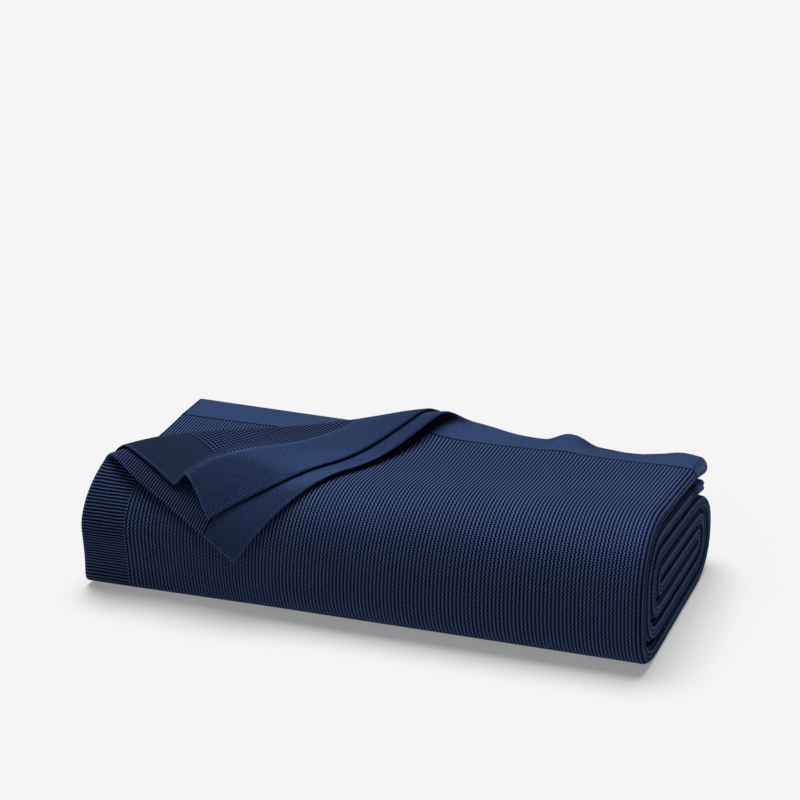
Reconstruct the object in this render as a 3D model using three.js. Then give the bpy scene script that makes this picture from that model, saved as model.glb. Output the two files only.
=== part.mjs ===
// Knit throw blanket, folded into a bundle, in millimetres. +X runs along the bundle, +Y to its back, +Z up.
//
// The throw is one knitted panel with a sewn band along each long side. It is folded in four along its length,
// so that each strip across the bundle is a pack of four layers, and the pack is then folded back and forth
// into eight strips. The back-left corners of the two top layers are turned over towards the front.
import * as THREE from 'three';

// Driving dimensions
const LENGTH = 381; // of the bundle, a quarter of the throw's length
const DEPTH = 177.5; // of the bundle, front to back
const PITCH = 3.2; // from one layer to the next
const CLOTH = 1.8; // thickness of the knitted cloth
const BAND = 29; // width of the sewn side bands
const SEAM_GAP = 0.3; // between a band and the panel
const EDGE_BACK = 160; // depth at which the top strip's free edge ends
const EDGE_INNER = 154; // and that of the strip under it
const END_SETBACK = 2; // how far the second ribbed end lies behind the first

// The pack of four layers and the stack of eight strips
const STRIP = 4 * PITCH;
const STACK = 8 * STRIP;
const OUTSIDE = 1.5 * PITCH + CLOTH / 2; // from a strip's middle to its outer face
const FRONT_Y = 3.5 * STRIP + OUTSIDE; // centre of the front folds
const BACK_Y = DEPTH - 2.5 * STRIP - OUTSIDE; // centre of the back folds

// Height of the bundle at its two ends, at the front, the middle and the back
const HEIGHTS = {
  left: { front: 104, middle: 86, back: 93.5 },
  right: { front: 113, middle: 101, back: 88 },
};

// Unevenness of the bundle
const SKEW = 20.5; // the left end's back corner lies this far to the right
const TUCK = 7; // how far the left end swells out between floor and top
const BULGE = 3; // how far the front swells out there
// At the left end the foot of the front keeps a share of the swell, stands back a little and is squarer
const FOOT = { share: 2, back: 14, length: 160, level: 0.6, round: 3.2, square: 9 };
const DROOP = { depth: 52, drop: 7 }; // the top falls away towards its back edge
// The top layer's free edge stands up a little from one place on, and waves: each row says where along the
// bundle, how far each side of the wave reaches, and its height
const EDGE = { lift: 4.5, from: 195, ramp: 40, depth: 38 };
const WAVES = [
  { at: 243, before: 60, after: 60, rise: -4 },
  { at: 286.5, before: 19, after: 19, rise: 6.5 },
  { at: 322, before: 46, after: 46, rise: -4.5 },
  { at: 363, before: 19, after: 22, rise: 2.7 },
];

// The turned-over corners: a fold line across the top, and the cloth's profile over it
const TURN = {
  angle: THREE.MathUtils.degToRad(31.2), // of the fold line's normal from the bundle's depth
  reach: 113, // from the cloth's corner to the fold line
  riseLength: 36, // cloth that lifts before the line
  riseAngle: THREE.MathUtils.degToRad(28),
  rollLength: 17, // cloth in the tight roll
  fallAngle: THREE.MathUtils.degToRad(21),
  rest: 5, // height at which the flap lies on the cloth below
  closer: 0.35, // the second layer lies this much closer to the first over the roll
  level: 15, // cloth over which it goes back to a full pitch
  step: 0.25, // arc length step of the profile
};
// The fold line is not quite straight: it swells towards the front, most at one place along it, and again at
// the left end. Places along it are counted from the foot of the cloth's corner.
const LINE = { swell: 8.5, at: -90, half: 95, end: 5.2, endLength: 67 };
const FLATTER = { share: 0.2, length: 100 }; // the roll is lower towards the left end
// The flaps lean to the left along the fold line, by this much at their corners
const LEAN = [
  { slide: 10, power: 2.5 },
  { slide: 22, power: 1.8 },
];
// The second layer's corner is pulled in at its end and at its side, which also bows softly outwards
const PULLED = {
  end: 10.5,
  side: 6.5,
  length: 230, // how far the pull reaches along the bundle
  depth: 125, // and across it
  bow: 4,
  bowAt: 60,
  bowBefore: 60,
  bowAfter: 100,
};
// The crease along the upper flap's seam and the trough behind it
const CREASE = { height: 18, trough: 24, length: 140, power: 1.5, start: 25 };

const NAVY = new THREE.Color(0x22345f);
const NAVY_BAND = new THREE.Color(0x283c6b);

const { clamp, lerp } = THREE.MathUtils;
const smooth = (t) => THREE.MathUtils.smoothstep(t, 0, 1);
function hump(x, at, before, after) {
  const away = clamp(Math.abs(x - at) / (x < at ? before : after), 0, 1);
  return (1 - away ** 2) ** 2;
}

// Values between the rows of a table sorted by its first column
function lookup(table, key, value) {
  let low = 0;
  let high = table.length - 1;
  if (value <= table[0][key]) return table[0];
  if (value >= table[high][key]) return table[high];
  while (high - low > 1) {
    const middle = (low + high) >> 1;
    if (table[middle][key] > value) high = middle;
    else low = middle;
  }
  const t = (value - table[low][key]) / (table[high][key] - table[low][key]);
  const row = {};
  for (const name of Object.keys(table[low])) row[name] = lerp(table[low][name], table[high][name], t);
  return row;
}

// The middle line of the folded strips, from the top back edge to the inner back edge, and the rows at which
// the cloth is cut into faces
const stripHeight = (k) => (8.5 - k) * STRIP;
// Each row is a run at one strip's height, then the fold at its end. Folds narrow towards the middle of the
// stack; roundness 2 is a half circle, and more is squarer.
const FOLDS = [
  { strip: 1, end: 'front', to: 8, over: 2.2, under: 3.2, faces: 9 },
  { strip: 8, end: 'back', to: 3, over: 2.4, under: 2.4, faces: 6 },
  { strip: 3, end: 'front', to: 6, over: 2.1, under: 2.3, faces: 5 },
  { strip: 6, end: 'back', to: 5, over: 2, under: 2, faces: 4 },
  { strip: 5, end: 'front', to: 4, over: 2, under: 2, faces: 4 },
  { strip: 4, end: 'back', to: 7, over: 2.2, under: 2.2, faces: 5 },
  { strip: 7, end: 'front', to: 2, over: 2.1, under: 2.6, faces: 6 },
];

function foldPath() {
  const points = [{ y: EDGE_BACK, z: stripHeight(1), row: true }];
  const run = (toY, z, faces) => {
    const from = points.at(-1);
    const fine = 6;
    for (let i = 1; i <= faces * fine; i += 1) {
      points.push({ y: lerp(from.y, toY, i / (faces * fine)), z, row: i % fine === 0 });
    }
  };
  for (const { strip, end, to, over, under, faces } of FOLDS) {
    const side = end === 'front' ? -1 : 1;
    const centreY = end === 'front' ? FRONT_Y : BACK_Y;
    const centreZ = (stripHeight(strip) + stripHeight(to)) / 2;
    const radius = Math.abs(stripHeight(strip) - stripHeight(to)) / 2;
    const down = stripHeight(strip) > stripHeight(to);
    run(centreY, stripHeight(strip), 2);
    const fine = 8;
    for (let i = 1; i <= faces * fine; i += 1) {
      const turn = (Math.PI * i) / (faces * fine);
      const angle = down ? turn : Math.PI - turn;
      const c = Math.cos(angle);
      const s = Math.sin(angle);
      const power = c >= 0 ? over : under;
      const scale = (Math.abs(c) ** power + Math.abs(s) ** power) ** (-1 / power);
      const y = centreY + side * radius * scale * s;
      points.push({ y, z: centreZ + radius * scale * c, row: i % fine === 0 });
    }
  }
  run(EDGE_INNER, stripHeight(2), 3);
  let w = 0;
  const table = points.map((point, i) => {
    const before = points[Math.max(i - 1, 0)];
    const after = points[Math.min(i + 1, points.length - 1)];
    w += Math.hypot(point.y - before.y, point.z - before.z);
    const length = Math.hypot(after.y - before.y, after.z - before.z);
    return { w, y: point.y, z: point.z, ty: (after.y - before.y) / length, tz: (after.z - before.z) / length };
  });
  const rows = table.filter((_, i) => points[i].row).map((entry) => entry.w);
  return { table, rows, width: w };
}
const PATH = foldPath();
const WIDTH = PATH.width;

// The layers of a pack, from the first ribbed end to the second: the way along the bundle x and the depth q
// below the outermost layer. "face" is the side on which the cloth's right side lies.
const OUTER_TURN = 1.5 * PITCH;
const INNER_TURN = 0.5 * PITCH;
const RIGHT_X = LENGTH - OUTER_TURN - CLOTH / 2;
const LEFT_X = INNER_TURN + CLOTH / 2;
const LAYERS = [
  { kind: 'run', from: 0, to: RIGHT_X, q: 0, face: -1 },
  { kind: 'turn', x: RIGHT_X, side: 1, q: 1.5 * PITCH, radius: OUTER_TURN, from: -1, face: 1, faces: 5 },
  { kind: 'run', from: RIGHT_X, to: LEFT_X, q: 3 * PITCH, face: 1 },
  { kind: 'turn', x: LEFT_X, side: -1, q: 2.5 * PITCH, radius: INNER_TURN, from: 1, face: 1, faces: 3 },
  { kind: 'run', from: LEFT_X, to: RIGHT_X, q: 2 * PITCH, face: -1 },
  { kind: 'turn', x: RIGHT_X, side: 1, q: 1.5 * PITCH, radius: INNER_TURN, from: 1, face: -1, faces: 3 },
  { kind: 'run', from: RIGHT_X, to: END_SETBACK, q: PITCH, face: 1 },
];

// The profile of the turned-over corner: a gentle rise, a tight roll, a fall and a level stretch. The second
// layer lies outside the first.
function turnProfile() {
  const { riseLength, riseAngle, rollLength, fallAngle, rest, step } = TURN;
  const build = (fall) => {
    const rows = [];
    let along = -riseLength;
    let lift = 0;
    let before = 0;
    for (let u = -riseLength; u <= rollLength + fall; u += step) {
      const heading =
        riseAngle * smooth((u + riseLength) / riseLength) +
        (Math.PI + fallAngle - riseAngle) * clamp(u / rollLength, 0, 1) -
        fallAngle * smooth((u - rollLength - 0.35 * fall) / (0.65 * fall));
      if (rows.length) {
        along += Math.cos((heading + before) / 2) * step;
        lift += Math.sin((heading + before) / 2) * step;
      }
      before = heading;
      rows.push({ u, along, lift, heading, base: lift });
    }
    return rows;
  };
  let low = 5;
  let high = 300;
  for (let i = 0; i < 30; i += 1) {
    const fall = (low + high) / 2;
    if (build(fall).at(-1).lift > rest) low = fall;
    else high = fall;
  }
  const first = build((low + high) / 2);
  let u = -riseLength;
  const second = first.map((row, i) => {
    const here = outside(row);
    if (i > 0) {
      const last = outside(first[i - 1]);
      u += Math.hypot(here.along - last.along, here.lift - last.lift);
    }
    return { u, ...here, heading: row.heading, base: row.lift };
  });
  return [first, second];
}
function outside({ u, along, lift, heading }) {
  const closer = TURN.closer * smooth((heading - 0.3) / 1.2) * (1 - smooth((u - TURN.rollLength) / TURN.level));
  const gap = PITCH - closer;
  return { along: along + gap * Math.sin(heading), lift: lift - gap * Math.cos(heading) + PITCH };
}
const PROFILES = turnProfile();
const TURN_X = Math.sin(TURN.angle);
const TURN_W = Math.cos(TURN.angle);

// How far a place of the cloth lies beyond the fold line
function beyondLine(x, w) {
  const along = TURN_X * w - TURN_W * x;
  const swell = LINE.swell * hump(along, LINE.at, LINE.half, LINE.half) + LINE.end * smooth(along / LINE.endLength);
  return TURN.reach + swell - (TURN_X * x + TURN_W * w);
}

// The upper flap's crease: its lift, and how much cloth the wave takes up
function creaseOf(x, w) {
  const height = CREASE.height * clamp(1 - x / CREASE.length, 0, 1) ** CREASE.power;
  const across = clamp((w - BAND) / CREASE.trough, 0, 1);
  const lift = height * (w < BAND ? 1 - (1 - w / BAND) ** 1.5 : 0.5 + 0.5 * Math.cos(Math.PI * across));
  const slack = 1 - Math.sqrt(1 - (height / BAND) ** 2);
  const slackBehind = 1 - Math.sqrt(Math.max(1 - (height / CREASE.trough) ** 2, 0.2));
  const behind = slackBehind * CREASE.trough * (1 - across);
  return { lift, taken: w < BAND ? slack * (BAND - w) + behind : behind };
}

// The first layer's free edge lifts in soft waves
function waveOf(x, w) {
  let lift = EDGE.lift * smooth((x - EDGE.from) / EDGE.ramp);
  for (const { at, before, after, rise } of WAVES) lift += rise * hump(x, at, before, after);
  return lift * smooth(1 - w / EDGE.depth);
}

// The second layer's place near its corner, before it is turned over
function pulledIn(x, w) {
  const nearEnd = clamp(1 - x / PULLED.length, 0, 1);
  const nearSide = clamp(1 - w / PULLED.depth, 0, 1);
  const bow = PULLED.bow * hump(x, PULLED.bowAt, PULLED.bowBefore, PULLED.bowAfter);
  return { x: x + PULLED.end * nearEnd * nearSide, w: w + (PULLED.side * nearEnd - bow) * nearSide };
}

// A point of layer 0 or 1 near the turned-over corner: its place across the fold line
function seated(x, w, layer) {
  if (layer === 0) return { x, w, rise: 0 };
  const place = pulledIn(x, w);
  const crease = creaseOf(place.x, w);
  return { x: place.x, w: place.w + crease.taken, rise: crease.lift };
}

// One point of a top layer, turned over the fold line where it lies beyond it
function turnOver(startX, startW, layer, offset) {
  const { x, w, rise } = seated(startX, startW, layer);
  const across = beyondLine(x, w);
  const profile = PROFILES[layer];
  const end = profile.at(-1);
  const wave = layer === 0 ? waveOf(x, w) : 0;
  if (across <= profile[0].u) return { x, w, lift: offset + wave, rise: 0 };
  const row = lookup(profile, 'u', across);
  const beyond = Math.max(across - end.u, 0);
  const shift = row.along - beyond - across;
  const over = Math.max(across - TURN.rollLength, 0);
  const slide = LEAN[layer].slide * clamp(over / (TURN.reach - TURN.rollLength), 0, 1) ** LEAN[layer].power;
  const turnedX = x - TURN_X * shift;
  const lower = FLATTER.share * clamp(1 - turnedX / FLATTER.length, 0, 1) ** 2;
  const lean = offset * Math.sin(row.heading);
  return {
    x: turnedX + TURN_X * lean - TURN_W * slide,
    w: w - TURN_W * shift + TURN_W * lean + TURN_X * slide,
    lift: row.lift - row.base * lower + offset * Math.cos(row.heading) + wave,
    rise: rise * smooth(over / CREASE.start),
  };
}

// Height of the bundle over a place of its plan
function heightAt(x, y) {
  const v = clamp(y / DEPTH, -0.1, 1.15);
  const across = ({ front, middle, back }) =>
    front * (1 - v) * (1 - 2 * v) + 4 * middle * v * (1 - v) + back * v * (2 * v - 1);
  return lerp(across(HEIGHTS.left), across(HEIGHTS.right), smooth(x / LENGTH));
}

// How much further out a place of the front's foot lies where the foot is squarer
function footOut(x, a, b) {
  if (a <= 0 || b <= 0) return 1;
  const size = (power) => (a ** power + b ** power) ** (1 / power);
  return (size(FOOT.round) / size(FOOT.square)) ** smooth(1 - x / FOOT.length);
}

// From the even stack to the bundle's real, uneven shape. The floor face stays flat at z = 0.
function unevenly(x, evenY, evenZ) {
  const out = footOut(x, 1 - evenY / FRONT_Y, 1 - evenZ / (STACK / 2));
  const y = FRONT_Y + (evenY - FRONT_Y) * out;
  const z = STACK / 2 + (evenZ - STACK / 2) * out;
  const v = clamp(y / DEPTH, 0, 1.1);
  const level = clamp((z - PITCH / 2 + CLOTH / 2) / STACK, 0, 1.3);
  const leftHalf = clamp(1 - x / (0.45 * LENGTH), 0, 1) ** 2;
  const leftEnd = clamp(1 - x / (0.35 * LENGTH), 0, 1) ** 2;
  const swell = Math.sin(Math.PI * Math.min(level, 1)) * clamp(1 - 2 * v, 0, 1);
  const back = smooth((y - (DEPTH - DROOP.depth)) / DROOP.depth);
  const share = level < 0.5 ? FOOT.share : 0;
  const tuck = (share + (1 - share) * Math.sin(Math.PI * Math.min(level, 1))) * clamp(1 - 2 * v, 0, 1);
  const setBack = FOOT.back * smooth(1 - x / FOOT.length) * smooth(1 - level / FOOT.level) * clamp(1 - 2 * v, 0, 1);
  return new THREE.Vector3(
    x + SKEW * leftHalf * v - TUCK * leftEnd * tuck,
    y - BULGE * leftEnd * swell + setBack,
    level * heightAt(x, y) - DROOP.drop * back * Math.min(level, 1) ** 2,
  );
}

// The place of a point of the cloth: s along the throw, w across it, and offset towards its right side
function place({ layer, t }, w, offset) {
  const part = LAYERS[layer];
  let x;
  let q;
  if (part.kind === 'run') {
    x = t;
    q = part.q + part.face * offset;
  } else {
    const radius = part.radius + part.face * offset;
    x = part.x + part.side * radius * Math.sin(t);
    q = part.q + part.from * radius * Math.cos(t);
  }
  let depth = 1.5 * PITCH - q;
  // The outermost turn starts as high as the first layer's waving edge
  if (layer === 1) depth += waveOf(part.x, w) * Math.cos(t / 2) ** 2;
  let across = w;
  let rise = 0;
  if (layer === 0 || layer === 6) {
    const up = layer === 0 ? offset : -offset;
    const turned = turnOver(x, w, layer === 0 ? 0 : 1, up);
    x = turned.x;
    across = turned.w;
    rise = turned.rise;
    depth = 1.5 * PITCH - part.q + turned.lift;
  }
  const beyond = Math.max(-across, 0);
  const { y, z, ty, tz } = lookup(PATH.table, 'w', across);
  const length = Math.hypot(ty, tz);
  const point = unevenly(x, y + beyond + (depth * tz) / length, z - (depth * ty) / length);
  point.z += rise;
  if (rise === 0 || offset === 0) return point;
  // On the crease's slopes the cloth's faces follow its own surface
  const middle = place({ layer, t }, w, 0);
  const alongX = place({ layer, t: t + 0.5 }, w, 0).sub(place({ layer, t: t - 0.5 }, w, 0));
  const alongW = place({ layer, t }, w + 0.5, 0).sub(place({ layer, t }, w - 0.5, 0));
  middle.addScaledVector(alongX.cross(alongW).normalize(), offset);
  return point.lerp(middle, Math.min(rise / 1.5, 1));
}

// Where the cloth is cut along x. The roll of the turned-over corner has stations of its own.
const STATIONS = [28, 70, 125, 190, 250, 310]; // on the first layer, where it is outermost
const INNER_STATIONS = [60, 200, 300];
const ROLL_STATIONS = [-33, -20, -8, 0, 3.4, 6.8, 10.2, 13.6, 17, 27, 42, 60];
// Stations on the first layer, near its free edge
const WAVE_STATIONS = [206, 222, 238, 257, 270, 278, 286, 295, 304, 316, 332, 344, 353, 363];
const FLAP_STATIONS = [13, 26, 39, 52, 65, 78, 91, 104, 117]; // on the turned-over cloth
// Greatest distance between rows: small where the roll runs out at the left end
const ROW_SPACING = [
  { before: 28, spacing: 12 },
  { before: 53, spacing: 6 },
  { before: 88, spacing: 12 },
  { before: 148, spacing: 4 },
  { before: 190, spacing: 12 },
  { before: Infinity, spacing: 200 },
];
const VISIBLE_ROWS = 12; // the top strip and the front face
const CLEAR = 9; // least distance along x between a plain station and the roll's

// Where a row of the cloth is a given way beyond the fold line
function lineAt(beyond, w, layer) {
  let x = (TURN.reach - beyond - TURN_W * w) / TURN_X;
  for (let i = 0; i < 16; i += 1) {
    const place = seated(x, w, layer);
    x += (beyondLine(place.x, place.w) - beyond) / TURN_X;
  }
  return x;
}

function stationsOf(w) {
  const list = [];
  LAYERS.forEach((part, layer) => {
    if (part.kind === 'turn') {
      for (let i = 1; i < part.faces; i += 1) {
        list.push({ layer, t: (Math.PI * i) / part.faces, key: `${layer}t${i}` });
      }
      return;
    }
    const left = Math.min(part.from, part.to);
    const right = Math.max(part.from, part.to);
    const here = [{ layer, t: left, key: `${layer}left` }, { layer, t: right, key: `${layer}right` }];
    const turning = layer === 0 || layer === 6;
    const roll = [];
    if (turning) {
      const profile = PROFILES[layer === 0 ? 0 : 1];
      for (const u of ROLL_STATIONS) {
        const own = layer === 0 ? u : profile[Math.round((u + TURN.riseLength) / TURN.step)].u;
        const x = lineAt(own, w, layer === 0 ? 0 : 1);
        if (x > left + 1 && x < right - 3) roll.push({ layer, t: x, key: `${layer}u${u}` });
      }
    }
    here.push(...roll);
    const rollLeft = Math.min(...roll.map((r) => r.t)) - CLEAR;
    const rollRight = Math.max(...roll.map((r) => r.t)) + CLEAR;
    const shows = layer === 0 && w < PATH.rows[VISIBLE_ROWS];
    for (const x of shows ? STATIONS : INNER_STATIONS) {
      const free = roll.length === 0 || x > rollRight;
      if (x > left + CLEAR && x < right - CLEAR && free) here.push({ layer, t: x, key: `${layer}x${x}` });
    }
    for (const x of WAVE_STATIONS) {
      if (layer === 0 && w < EDGE.depth && x > rollRight) here.push({ layer, t: x, key: `${layer}w${x}` });
    }
    for (const x of FLAP_STATIONS) {
      if (roll.length > 0 && x < rollLeft) here.push({ layer, t: x, key: `${layer}f${x}` });
    }
    here.sort((a, b) => (part.to > part.from ? a.t - b.t : b.t - a.t));
    list.push(...here);
  });
  return list;
}

// Faces between two neighbouring rows of stations that need not match one to one. Layers that run back along
// the bundle have the same diagonals as those that run forwards, so that they stay evenly apart.
function stitch(first, second, faces) {
  let i = 0;
  let j = 0;
  const keysOfSecond = new Map(second.map((station, index) => [station.key, index]));
  const measure = (from, to, at) => (to === from ? 1 : (at - from) / (to - from));
  while (i < first.length - 1 || j < second.length - 1) {
    let nextI = i + 1;
    while (nextI < first.length && !keysOfSecond.has(first[nextI].key)) nextI += 1;
    const nextJ = nextI < first.length ? keysOfSecond.get(first[nextI].key) : second.length - 1;
    const endI = Math.min(nextI, first.length - 1);
    const startI = i;
    const startJ = j;
    while (i < endI || j < nextJ) {
      const firstNext = measure(startI, endI, i + 1);
      const secondNext = measure(startJ, nextJ, j + 1);
      const { from, to } = LAYERS[first[i].layer];
      const sooner = to < from ? firstNext < secondNext : firstNext <= secondNext;
      if (j >= nextJ || (i < endI && sooner)) {
        faces.push([first[i].index, second[j].index, first[i + 1].index]);
        i += 1;
      } else {
        faces.push([first[i].index, second[j].index, second[j + 1].index]);
        j += 1;
      }
    }
  }
}

// One piece of cloth between two places across the throw, as a closed solid of the cloth's thickness
function cloth(name, fromW, toW, color) {
  const inner = PATH.rows.filter((w) => w > fromW + 4 && w < toW - 4);
  const rows = [];
  const ends = [fromW, ...inner, toW];
  for (let i = 0; i + 1 < ends.length; i += 1) {
    let w = ends[i];
    while (w < ends[i + 1] - 1) {
      rows.push(w);
      const rest = ends[i + 1] - w;
      const spacing = ROW_SPACING.find((row) => w < row.before).spacing;
      w += rest / Math.ceil(rest / spacing);
    }
  }
  rows.push(toW);
  const points = [];
  const faces = [];
  const grids = [1, -1].map((side) =>
    rows.map((w) =>
      stationsOf(w).map((station) => {
        points.push(place(station, w, (side * CLOTH) / 2));
        return { ...station, index: points.length - 1 };
      }),
    ),
  );
  const sides = grids.map((grid) => {
    const own = [];
    for (let i = 0; i + 1 < grid.length; i += 1) stitch(grid[i], grid[i + 1], own);
    return own;
  });
  faces.push(...sides[0]);
  faces.push(...sides[1].map(([a, b, c]) => [a, c, b]));
  // Walls at the edges. Two pieces that meet at a seam have the same diagonals there.
  const wall = (a, b, turned) => {
    for (let i = 0; i + 1 < a.length; i += 1) {
      const pair = [
        [a[i].index, a[i + 1].index, b[i].index],
        [a[i + 1].index, b[i + 1].index, b[i].index],
      ];
      faces.push(...pair.map(([k, m, n]) => (turned ? [k, n, m] : [k, m, n])));
    }
  };
  const [outer, under] = grids;
  wall(outer[0], under[0], false);
  wall(outer.at(-1), under.at(-1), true);
  wall(outer.map((row) => row[0]), under.map((row) => row[0]), true);
  wall(outer.map((row) => row.at(-1)), under.map((row) => row.at(-1)), false);
  const geometry = new THREE.BufferGeometry();
  geometry.setAttribute('position', new THREE.Float32BufferAttribute(points.flatMap((p) => p.toArray()), 3));
  geometry.setIndex(faces.flat());
  geometry.computeVertexNormals();
  const mesh = new THREE.Mesh(geometry, new THREE.MeshStandardMaterial({ color, roughness: 0.92, metalness: 0 }));
  mesh.name = name;
  return mesh;
}

const throwBlanket = new THREE.Group();
throwBlanket.add(cloth('panel', BAND + SEAM_GAP / 2, WIDTH - BAND - SEAM_GAP / 2, NAVY));
throwBlanket.add(cloth('side_band_a', 0, BAND - SEAM_GAP / 2, NAVY_BAND));
throwBlanket.add(cloth('side_band_b', WIDTH - BAND + SEAM_GAP / 2, WIDTH, NAVY_BAND));

// The origin is the middle of the bundle's footprint, on the floor
const box = new THREE.Box3().setFromObject(throwBlanket);
const middle = box.getCenter(new THREE.Vector3());
for (const piece of throwBlanket.children) piece.geometry.translate(-middle.x, -middle.y, -box.min.z);

export default throwBlanket;
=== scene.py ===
"""Knit throw blanket folded into a bundle: its cloth, floor, light and camera.

The throw is one knitted panel with a band along each long side. It is folded in four along its length, and the
pack of four layers is folded back and forth into eight strips. The back-left corners of the two top layers are
turned over. Sizes are in millimetres until the meshes are made.
"""

import math

import bpy
import numpy as np
from mathutils import Matrix, Vector


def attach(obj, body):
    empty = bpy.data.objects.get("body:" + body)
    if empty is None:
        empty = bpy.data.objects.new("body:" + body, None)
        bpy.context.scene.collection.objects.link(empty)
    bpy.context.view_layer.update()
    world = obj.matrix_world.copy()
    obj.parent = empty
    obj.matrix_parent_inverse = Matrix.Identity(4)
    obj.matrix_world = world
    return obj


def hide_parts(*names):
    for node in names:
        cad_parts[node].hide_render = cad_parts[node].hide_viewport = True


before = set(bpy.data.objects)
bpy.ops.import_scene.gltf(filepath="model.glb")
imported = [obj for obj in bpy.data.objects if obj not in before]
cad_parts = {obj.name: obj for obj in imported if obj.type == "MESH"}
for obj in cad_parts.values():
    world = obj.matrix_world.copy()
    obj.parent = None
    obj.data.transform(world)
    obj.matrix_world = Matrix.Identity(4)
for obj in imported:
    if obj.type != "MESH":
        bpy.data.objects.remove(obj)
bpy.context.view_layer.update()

# Driving dimensions of the bundle
LENGTH = 381.0  # from the left end to the right
DEPTH = 177.5  # from the front to the back
PITCH = 3.2  # from one layer to the next
CLOTH = 1.8  # thickness
BAND = 29.0  # width of a side band
BORDER_WIDTH = 27.5  # of the ribbed border at each end
SEAM_GAP = 0.3
EDGE_BACK = 160.0  # how far back the free edge lies, on the top strip
EDGE_INNER = 154.0  # how far back the other long edge lies, one strip down
END_SETBACK = 2.0  # of the last layer's end from the left end
MIDDLE = (184.874, 86.2295)  # the footprint's middle, which is the origin

STRIPS = 8
STRIP = 4 * PITCH
STACK = STRIPS * STRIP
OUTSIDE = 1.5 * PITCH + CLOTH / 2  # from a strip's middle to its outer face
FRONT_Y = 3.5 * STRIP + OUTSIDE  # centre of the front turns
BACK_Y = DEPTH - 2.5 * STRIP - OUTSIDE  # centre of the back turns

HEIGHTS_LEFT = (104.0, 86.0, 93.5)  # at the front, the middle and the back
HEIGHTS_RIGHT = (113.0, 101.0, 88.0)
HEIGHT_SPAN = (-0.1, 1.15)  # shares of the depth between which the height changes
SKEW, SKEW_SHARE = 20.5, 0.45  # slant of the left end, and the share of the length that follows it
TUCK, TUCK_SHARE = 7.0, 0.35  # how far the left end stands out at the front, and the share that follows
BULGE = 3.0  # of the front near the left end
FOOT_SHARE, FOOT_BACK, FOOT_LENGTH, FOOT_LEVEL = 2.0, 14.0, 160.0, 0.6  # the front's foot at the left end
FOOT_ROUND, FOOT_SQUARE = 3.2, 9.0  # power of the foot's curve along the front, and at the left end
DROOP_DEPTH, DROOP_DROP = 52.0, 7.0  # of the top towards the back
DEPTH_LIMIT, LEVEL_LIMIT = 1.1, 1.3  # shares of depth and height beyond which nothing grows
EDGE_LIFT, EDGE_FROM, EDGE_RAMP, EDGE_DEPTH = 4.5, 195.0, 40.0, 38.0  # the free edge stands up at the right
WAVES = (  # of the free edge: at, reach before and after, rise
    (243.0, 60.0, 60.0, -4.0),
    (286.5, 19.0, 19.0, 6.5),
    (322.0, 46.0, 46.0, -4.5),
    (363.0, 19.0, 22.0, 2.7),
)

# The turned-over corner. The cloth rises to the fold line, rolls over, and falls to rest on the layer behind it.
TURN_ANGLE = math.radians(31.2)
TURN_REACH = 113.0  # from the fold line to the corner
RISE_LENGTH = 36.0
RISE_ANGLE = math.radians(28)
ROLL_LENGTH = 17.0
FALL_ANGLE = math.radians(21)
FALL_SHARE = 0.35  # share of the fall after which it levels out
REST = 5.0
PROFILE_STEP = 0.25
CLOSER, LEVEL_LENGTH = 0.35, 15.0  # the second layer lies closer over the roll
CLOSER_FROM, CLOSER_RAMP = 0.3, 1.2  # headings at which it does, in radians
LINE_SWELL, LINE_AT, LINE_HALF = 8.5, -90.0, 95.0  # the fold line bows out
LINE_END, LINE_END_LENGTH = 5.2, 67.0  # and runs out further at the left end
FLATTER_SHARE, FLATTER_LENGTH = 0.2, 100.0  # the roll is lower towards the left end
LEAN = ((10.0, 2.5), (22.0, 1.8))  # slide of each flap's corner along the fold line, and its power
PULLED_END, PULLED_SIDE, PULLED_LENGTH, PULLED_DEPTH = 10.5, 6.5, 230.0, 125.0  # slide of the second layer
BOW, BOW_AT, BOW_BEFORE, BOW_AFTER = 4.0, 60.0, 60.0, 100.0  # of its side
CREASE_HEIGHT, CREASE_LENGTH, CREASE_POWER = 18.0, 140.0, 1.5  # in the upper flap's band
CREASE_TROUGH, CREASE_SIDE_POWER = 24.0, 1.5  # its width beyond the band, and the power of its side
CREASE_STEEPEST = 0.2  # limit of its slope, as a cosine squared
CREASE_START = 25.0
CREASE_FULL = 1.5  # rise above which the cloth's faces follow the crease

# Stitches
RIDGE = 2.5  # from one moss ridge to the next, along the throw
WALE = 1.4  # width of one wale, across the throw
ZIGZAG = 0.55  # how far a moss ridge swings to each side
RELIEF = 0.55  # depth of the moss stitch
RIB = 2.2  # from one rib to the next in the borders, across the throw
BAND_INSET = 0.15  # a band is thinner by this on each face
HEM = 0.7  # width over which an edge is rounded
HEM_THIN = 0.15  # how thin the cloth is at the edge itself, as a share squared
TURN_POWER, SQUARE_FROM, SQUARE_RAMP = 3.0, 60.0, 60.0  # how square the turns at the right end get
GROOVE, GROOVE_WIDTH, GROOVE_FROM, GROOVE_RAMP = 0.16, 0.25, 40.0, 60.0  # along the outermost turn there
DRIFT = 10.0  # how far the ridges drift to the left from the top to the foot of the front
DRIFT_X, DRIFT_LEFT, DRIFT_RIGHT = 32.0, 110.0, 180.0  # from the left end, and its ramps from both ends
DRIFT_W, DRIFT_DOWN = 85.0, 120.0  # from the free edge, and its ramp down the front

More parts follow.
